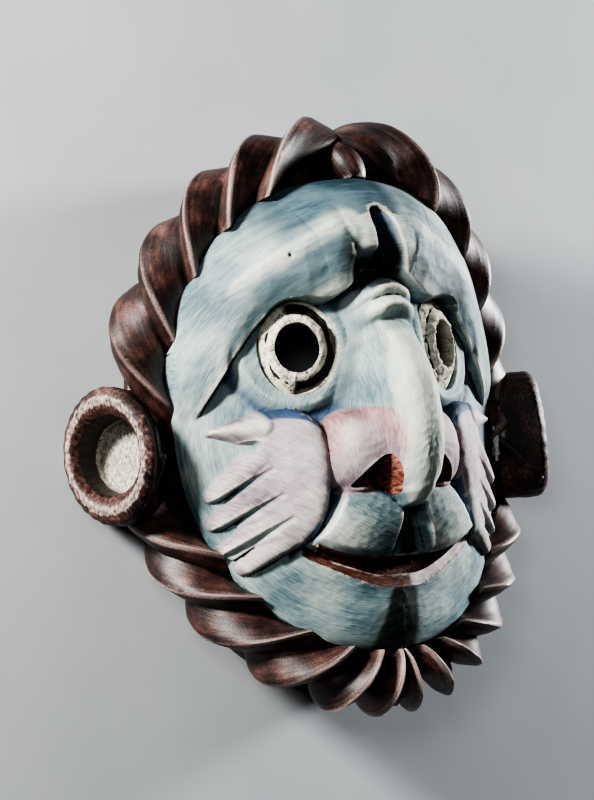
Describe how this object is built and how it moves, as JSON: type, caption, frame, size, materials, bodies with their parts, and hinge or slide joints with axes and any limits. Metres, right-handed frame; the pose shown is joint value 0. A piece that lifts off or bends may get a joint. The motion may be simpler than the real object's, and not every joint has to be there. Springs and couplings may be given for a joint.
{
  "type": "carved wooden mask",
  "caption": "Carved and painted wooden mask with a hooked nose, pierced ringed eyes, hands on the cheeks, a twisted wreath round the face and cup-shaped ears; hollow behind.",
  "frame": {"origin": "middle of the outline, on the plane of the back rim that the mask lies on", "axes": "+X to the wearer's left, which is the right of someone facing the mask; +Y from chin to forehead; +Z out of the face"},
  "size_m": [0.3452, 0.3659, 0.1392],
  "materials": {
    "painted_wood": "dry brushed paint on knife-cut wood",
    "ear_wood": "worn red-brown paint",
    "nail_iron": "rusted",
    "cord": "twisted fibre"
  },
  "bodies": {
    "root": {"mask_body": "painted_wood", "right_ear": "ear_wood", "left_ear": "ear_wood", "nail": "nail_iron", "lashing": "cord"}
  },
  "joints": []
}
